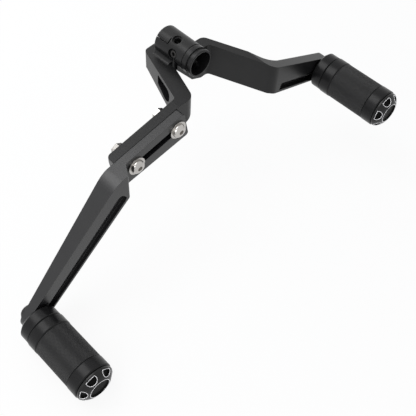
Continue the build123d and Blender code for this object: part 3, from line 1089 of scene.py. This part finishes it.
class NodeShell:
    """A CAD node as it looks: its own mesh with a few forms cut or filled."""

    NORMAL_REACH = 0.03 * MM
    LEAST_FACING = 0.93

    def steps(self) -> dict[str, tuple[Tool, str]]:
        """List the tools in their order.

        Returns:
            Each tool with UNION or DIFFERENCE, by name.
        """
        return {}

    @staticmethod
    def combine(shell: bpy.types.Object, tool: bpy.types.Object, operation: str) -> None:
        """Join a tool to the shell or cut it out, and remove the tool.

        Args:
            shell: The shell.
            tool: The tool solid.
            operation: UNION or DIFFERENCE.
        """
        modifier = shell.modifiers.new("shape", "BOOLEAN")
        modifier.operation = operation
        modifier.solver = "EXACT"
        modifier.object = tool
        data = baked_mesh(shell)
        shell.modifiers.remove(modifier)
        shell.data = data
        bpy.data.objects.remove(tool)

    def keep_normals(self, node: bpy.types.Object, shell: bpy.types.Object) -> None:
        """Give the shell the CAD surface's own normals where it still follows it.

        Args:
            node: CAD node that the shell replaces.
            shell: The shell.
        """
        source = node.data
        source.calc_loop_triangles()
        spots = [node.matrix_world @ v.co for v in source.vertices]
        triangles = [tuple(t.vertices) for t in source.loop_triangles]
        tree = BVHTree.FromPolygons(spots, triangles)
        normals = [Vector(n.vector) for n in source.corner_normals]
        kept = []
        for face in shell.data.polygons:
            face.use_smooth = True
            for loop in face.loop_indices:
                spot = shell.data.vertices[shell.data.loops[loop].vertex_index].co
                best, limit = face.normal.copy(), self.LEAST_FACING
                for _, facing, index, _ in tree.find_nearest_range(spot, self.NORMAL_REACH):
                    if facing.dot(face.normal) <= limit:
                        continue
                    limit = facing.dot(face.normal)
                    corners = source.loop_triangles[index].loops
                    weights = poly_3d_calc([spots[v] for v in triangles[index]], spot)
                    best = sum((normals[c] * w for c, w in zip(corners, weights)), Vector())
                kept.append(best.normalized())
        shell.data.normals_split_custom_set(kept)

    def build(self, node: bpy.types.Object, name: str, finish: Finish, slot: str) -> None:
        """Build the shell in place of the CAD node.

        Args:
            node: CAD node that the shell replaces.
            name: Name of the CAD node.
            finish: Finish of the shell.
            slot: Material slot of the record; not used.
        """
        shell = add_object(name + "_shell", node.data.copy())
        shell.data.transform(node.matrix_world)
        weld = bmesh.new()
        weld.from_mesh(shell.data)
        bmesh.ops.remove_doubles(weld, verts=weld.verts, dist=WELD_GAP)
        weld.to_mesh(shell.data)
        weld.free()
        for label, (tool, operation) in self.steps().items():
            self.combine(shell, tool.build(label), operation)
        shell.data.name = shell.name
        shell.data.materials.clear()
        shell.data.materials.append(finish.material())
        self.keep_normals(node, shell)
        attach(shell, ROOT_BODY)
        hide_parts(name)
        LOG.info("%s: %d faces", shell.name, len(shell.data.polygons))


class LeverShell(NodeShell):
    """The main lever as it looks, made from its CAD node.

    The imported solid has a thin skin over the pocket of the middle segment, two
    nicks in the segment beside the hub's grooves and a hub slit that sits too
    high.  The shell opens the pocket, fills the nicks and sets the slit.
    """

    POCKET_TURN = math.radians(71.3)
    POCKET = Prism(
        corners=(
            (-0.05, -11.15, 1.5),
            (22.75, -10.45, 5.0),
            (22.75, -28.35, 8.0),
            (-0.05, -20.85, 1.5),
        ),
        low=-5.05,
        high=0.6,
        place=Matrix(
            (
                (math.cos(POCKET_TURN), 0.0, math.sin(POCKET_TURN), 25.3 * MM),
                (math.sin(POCKET_TURN), 0.0, -math.cos(POCKET_TURN), -22.5 * MM),
                (0.0, 1.0, 0.0, 0.0),
                (0.0, 0.0, 0.0, 1.0),
            )
        ),
    )
    NICKS = Prism(
        corners=((14.57, -10.3, 0.0), (24.5, -10.3, 0.0), (24.5, -1.5, 0.0), (17.73, -1.5, 0.0)),
        low=-19.5,
        high=-7.515,
    )
    OLD_SLIT = HubSector(
        stations=(
            (-41.97, 10.7),
            (-41.8, 11.2),
            (-41.5, 11.58),
            (-41.1, 11.84),
            (-40.6, 11.97),
            (-27.62, 11.985),
        ),
        inner=6.52,
        start=37.0,
        stop=84.0,
    )
    SLIT = Prism(
        corners=((0.0, -0.35, 0.0), (14.0, -0.35, 0.0), (14.0, 0.35, 0.0), (0.0, 0.35, 0.0)),
        low=28.1,
        high=43.0,
    )
    CROSS_SLIT = HubSector(
        stations=((-28.9, 13.0), (-27.95, 13.0)), inner=6.0, start=38.9, stop=66.0
    )
    SLIT_ANGLE = math.radians(39.0)

    def steps(self) -> dict[str, tuple[Tool, str]]:
        """List the tools of the main lever in their order.

        Returns:
            Each tool with UNION or DIFFERENCE, by name.
        """
        turned = Matrix.Rotation(-self.SLIT_ANGLE, 4, "Y") @ Matrix.Rotation(math.pi / 2, 4, "X")
        slit = Prism(self.SLIT.corners, self.SLIT.low, self.SLIT.high, turned)
        return {
            "nick_fill": (self.NICKS, "UNION"),
            "slit_fill": (self.OLD_SLIT, "UNION"),
            "pocket_cut": (self.POCKET, "DIFFERENCE"),
            "slit_cut": (slit, "DIFFERENCE"),
            "cross_slit_cut": (self.CROSS_SLIT, "DIFFERENCE"),
        }


class ArmShell(NodeShell):
    """The toe arm as it looks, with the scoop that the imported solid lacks."""

    def steps(self) -> dict[str, tuple[Tool, str]]:
        """List the tools of the toe arm.

        Returns:
            Each tool with UNION or DIFFERENCE, by name.
        """
        return {"scoop_cut": (ArmScoop(), "DIFFERENCE")}


@dataclass
class HubBore:
    """Serrations of the hub bore, which grip the shift shaft.

    Attributes:
        serrations: The ridges round the bore.
        middle: Y of the middle of the serrated length.
    """

    serrations: RidgeRing = field(
        default_factory=lambda: RidgeRing(
            radius=6.45 * MM, count=36, length=26.0 * MM, width=0.45 * MM, height=0.45 * MM
        )
    )
    middle: float = -28.6 * MM

    def build(self) -> None:
        """Build the serrations inside the bore."""
        piece = RepeatPiece("bore_serrations", self.serrations.group("bore_nodes"), BLACK_LEVER)
        piece.place(Matrix.Translation((0.0, self.middle, 0.0)), ROOT_BODY, "black_lever")


@dataclass(frozen=True)
class Softbox:
    """A square area lamp aimed at the lever.

    Attributes:
        name: Name of the lamp.
        place: Where the lamp stands.
        size: Side of the lamp.
        power: Power in watts.
    """

    name: str
    place: tuple[float, float, float]
    size: float
    power: float

    def build(self, aim: Vector) -> None:
        """Create the lamp.

        Args:
            aim: Point that the lamp looks at.
        """
        data = bpy.data.lights.new(self.name, "AREA")
        data.shape = "SQUARE"
        data.size = self.size
        data.energy = self.power
        lamp = add_object(self.name, data)
        lamp.location = self.place
        lamp.rotation_euler = (aim - Vector(self.place)).to_track_quat("-Z", "Y").to_euler()
        LOG.info("lamp %s of %.1f W", self.name, self.power)


@dataclass
class Studio:
    """Floor, world, lamps and camera.

    Attributes:
        floor_z: Height of the floor under the lever.
        azimuth: Camera azimuth in degrees from +X to +Y.
        elevation: Camera elevation in degrees.
        roll: Camera roll in degrees.
        place: Camera position.
        lens: Focal length in millimetres.
        sensor: Width of the camera's sensor in millimetres.
        clip: Nearest and farthest distance that the camera sees.
        aim: Point that the lamps look at.
        lamps: The lamps.
        floor_side: Side of the floor.
        papers: The two near tones of the floor.
        paper_scale: Scale of the floor's tones in 1/m.
        glow: Share of the floor that the view sees as plain white.
        sky: Colour of the world as a light.
        sky_power: Strength of the world as a light.
    """

    WHITE = (1.0, 1.0, 1.0, 1.0)

    floor_z: float = -0.1285
    azimuth: float = 42.35
    elevation: float = 52.92
    roll: float = 3.97
    place: tuple[float, float, float] = (0.30748, 0.29891, 0.37878)
    lens: float = 61.21
    sensor: float = 36.0
    clip: tuple[float, float] = (0.01, 20.0)
    aim: Vector = field(default_factory=lambda: Vector((0.04, 0.03, -0.05)))
    lamps: tuple[Softbox, ...] = (
        Softbox("key", (0.35, -0.35, 0.95), 0.7, 5.0),
        Softbox("fill", (0.95, 0.25, 0.4), 0.7, 3.0),
        Softbox("back", (-0.2, -0.95, 0.45), 0.7, 3.0),
    )
    floor_side: float = 8.0
    papers: tuple[tuple[float, ...], ...] = ((0.9, 0.9, 0.9, 1.0), (0.88, 0.88, 0.885, 1.0))
    paper_scale: float = 14.0
    glow: float = 0.9
    sky: tuple[float, ...] = (0.95, 0.97, 1.0, 1.0)
    sky_power: float = 0.55

    def build(self) -> None:
        """Build the whole studio."""
        self.build_floor()
        self.build_world()
        for lamp in self.lamps:
            lamp.build(self.aim)
        self.build_camera()

    @staticmethod
    def seen_by_view(tree: bpy.types.NodeTree) -> bpy.types.NodeSocket:
        """Say whether a ray comes from the camera, a gloss or a transmission.

        Args:
            tree: Node tree of a material or of the world.

        Returns:
            A socket that is 1 for such rays.
        """
        path = add_node(tree, "ShaderNodeLightPath").outputs
        direct = {0: path["Is Camera Ray"], 1: path["Is Glossy Ray"]}
        first = add_node(tree, "ShaderNodeMath", direct, operation="ADD")
        every = {0: first.outputs[0], 1: path["Is Transmission Ray"]}
        return add_node(tree, "ShaderNodeMath", every, operation="ADD", use_clamp=True).outputs[0]

    def build_floor(self) -> None:
        """Build the pale floor, which stays white to the view and keeps the shadow."""
        bpy.ops.mesh.primitive_plane_add(
            size=self.floor_side, location=(0.0, 0.0, self.floor_z)
        )
        floor = bpy.context.object
        floor.name = "floor"
        paint = bpy.data.materials.new("floor_paper")
        paint.use_nodes = True
        tree = paint.node_tree
        tree.nodes.clear()
        noise = add_node(tree, "ShaderNodeTexNoise", {"Scale": self.paper_scale})
        tones = {0: noise.outputs["Fac"], 6: self.papers[0], 7: self.papers[1]}
        tint = add_node(tree, "ShaderNodeMix", tones, data_type="RGBA")
        diffuse = add_node(tree, "ShaderNodeBsdfDiffuse", {"Color": tint.outputs[2]})
        glow = add_node(tree, "ShaderNodeEmission", {"Strength": 1.0})
        seen = {0: self.seen_by_view(tree), 1: self.glow}
        share = add_node(tree, "ShaderNodeMath", seen, operation="MULTIPLY")
        parts = {0: share.outputs[0], 1: diffuse.outputs[0], 2: glow.outputs[0]}
        blend = add_node(tree, "ShaderNodeMixShader", parts)
        add_node(tree, "ShaderNodeOutputMaterial", {"Surface": blend.outputs[0]})
        floor.data.materials.append(paint)
        LOG.info("floor at z %.4f", self.floor_z)

    def build_world(self) -> None:
        """Build a plain world, white to the view and softer as a light."""
        world = bpy.data.worlds.new("studio_world")
        world.use_nodes = True
        tree = world.node_tree
        tree.nodes.clear()
        soft = add_node(
            tree, "ShaderNodeBackground", {"Color": self.sky, "Strength": self.sky_power}
        )
        white = add_node(
            tree, "ShaderNodeBackground", {"Color": self.WHITE, "Strength": 1.0}
        )
        parts = {0: self.seen_by_view(tree), 1: soft.outputs[0], 2: white.outputs[0]}
        blend = add_node(tree, "ShaderNodeMixShader", parts)
        add_node(tree, "ShaderNodeOutputWorld", {"Surface": blend.outputs[0]})
        bpy.context.scene.world = world

    def build_camera(self) -> None:
        """Set the camera to the photograph's view."""
        turn, rise, tilt = (math.radians(v) for v in (self.azimuth, self.elevation, self.roll))
        back = Vector(
            (math.cos(rise) * math.cos(turn), math.cos(rise) * math.sin(turn), math.sin(rise))
        )
        level = (-back).cross(Vector((0, 0, 1))).normalized()
        above = level.cross(-back)
        right = math.cos(tilt) * level + math.sin(tilt) * above
        up = -math.sin(tilt) * level + math.cos(tilt) * above
        data = bpy.data.cameras.new("camera")
        data.lens = self.lens
        data.sensor_width = self.sensor
        data.clip_start, data.clip_end = self.clip
        camera = add_object("camera", data)
        camera.matrix_world = Matrix(
            (
                (right.x, up.x, back.x, self.place[0]),
                (right.y, up.y, back.y, self.place[1]),
                (right.z, up.z, back.z, self.place[2]),
                (0.0, 0.0, 0.0, 1.0),
            )
        )
        bpy.context.scene.camera = camera
        bpy.context.scene.view_settings.view_transform = "Standard"
        LOG.info("camera at %s", self.place)


def main() -> None:
    """Dress the lever, add the fine pieces and set the studio."""
    logging.basicConfig(level=logging.INFO, format="%(name)s %(message)s")
    nodes = {o["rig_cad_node"]: o for o in bpy.data.objects if "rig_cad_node" in o}
    NodeDresser().dress(nodes)
    LeverShell().build(nodes["main_lever"], "main_lever", BLACK_LEVER, "black_lever")
    ArmShell().build(nodes["toe_arm"], "toe_arm", BLACK_ARM, "black_arm")
    builders: list[Callable[[], None]] = [
        FootPeg(Pegs.TOE, axis_x=206.0 * MM, axis_z=-110.8 * MM).build,
        FootPeg(Pegs.HEEL, axis_x=-117.7 * MM, axis_z=-50.0 * MM).build,
        HubBore().build,
        Studio().build,
    ]
    for build in builders:
        build()


if __name__ == "__main__":
    main()
